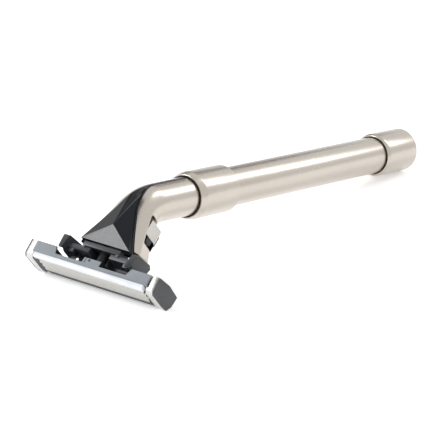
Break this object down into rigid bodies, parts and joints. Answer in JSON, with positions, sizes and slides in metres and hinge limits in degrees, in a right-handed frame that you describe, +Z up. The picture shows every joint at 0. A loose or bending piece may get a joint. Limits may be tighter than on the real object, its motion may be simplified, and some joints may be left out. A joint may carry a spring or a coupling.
{
  "type": "cartridge razor",
  "caption": "Razor with a turned steel handle, a bent flared neck, a release slider and a pivoting multi-blade cartridge.",
  "frame": {"origin": "bottom centre of the bounding box, on the table the razor rests on", "axes": "+X along the cartridge, +Y from the head towards the end cap, +Z up; the razor lies on its guard edge and end cap"},
  "size_m": [0.0414, 0.146, 0.0236],
  "materials": {
    "satin_steel": "satin brushed stainless steel",
    "inner_steel": "plain machined steel",
    "seal_rubber": "matt black",
    "black_plastic": "satin black moulding",
    "dark_grey_plastic": "satin dark grey moulding",
    "grey_plastic": "satin grey moulding",
    "button_metal": "bright, ribbed",
    "blade_steel": "ground steel",
    "clip_aluminium": "bright anodised",
    "white_strip": "glossy white",
    "guard_rubber": "matt dark grey"
  },
  "bodies": {
    "handle": {"back_cover": "black_plastic", "cap_ring": "seal_rubber", "collar": "satin_steel", "collar_ring": "seal_rubber", "docking_nose": "black_plastic", "end_cap": "satin_steel", "end_plug": "inner_steel", "handle_tube": "satin_steel", "neck_core": "black_plastic", "neck_insert": "inner_steel", "neck_shell": "satin_steel", "plunger_spring": "inner_steel", "slider_spring": "inner_steel", "tube_insert": "inner_steel"},
    "slider": {"eject_button": "button_metal", "slider_carrier": "black_plastic"},
    "plunger": {"plunger": "black_plastic"},
    "yoke": {"yoke": "dark_grey_plastic"},
    "cartridge": {"blade_1": "blade_steel", "blade_2": "blade_steel", "blade_3": "blade_steel", "blade_support_1": "blade_steel", "blade_support_2": "blade_steel", "blade_support_3": "blade_steel", "cartridge_housing": "grey_plastic", "guard_strip": "guard_rubber", "left_clip": "clip_aluminium", "lubricating_strip": "white_strip", "right_clip": "clip_aluminium"}
  },
  "joints": [
    {"name": "eject_slide", "type": "slide", "parent": "handle", "child": "slider", "axis": [0, -0.7393, -0.6733], "range_m": [0, 0.0025], "stiffness_N_per_m": 400, "springref_m": -0.001, "deforming": ["slider_spring"]},
    {"name": "plunger_slide", "type": "slide", "parent": "handle", "child": "plunger", "axis": [0, -0.7393, -0.6733], "range_m": [-0.0023, 0], "deforming": ["plunger_spring"]},
    {"name": "cartridge_release", "type": "slide", "parent": "handle", "child": "yoke", "axis": [0, -0.7393, -0.6733], "range_m": [0, 0.012]},
    {"name": "cartridge_pivot", "type": "hinge", "parent": "yoke", "child": "cartridge", "pos_m": [0, -0.06563, 0.00297], "axis": [-1, 0, 0], "range_deg": [0, 20], "stiffness_Nm_per_rad": 0.01, "springref_deg": -14.32}
  ],
  "couplings": [
    {"joint": "plunger_slide", "follows": "cartridge_pivot", "m_per_rad": -0.006446}
  ]
}
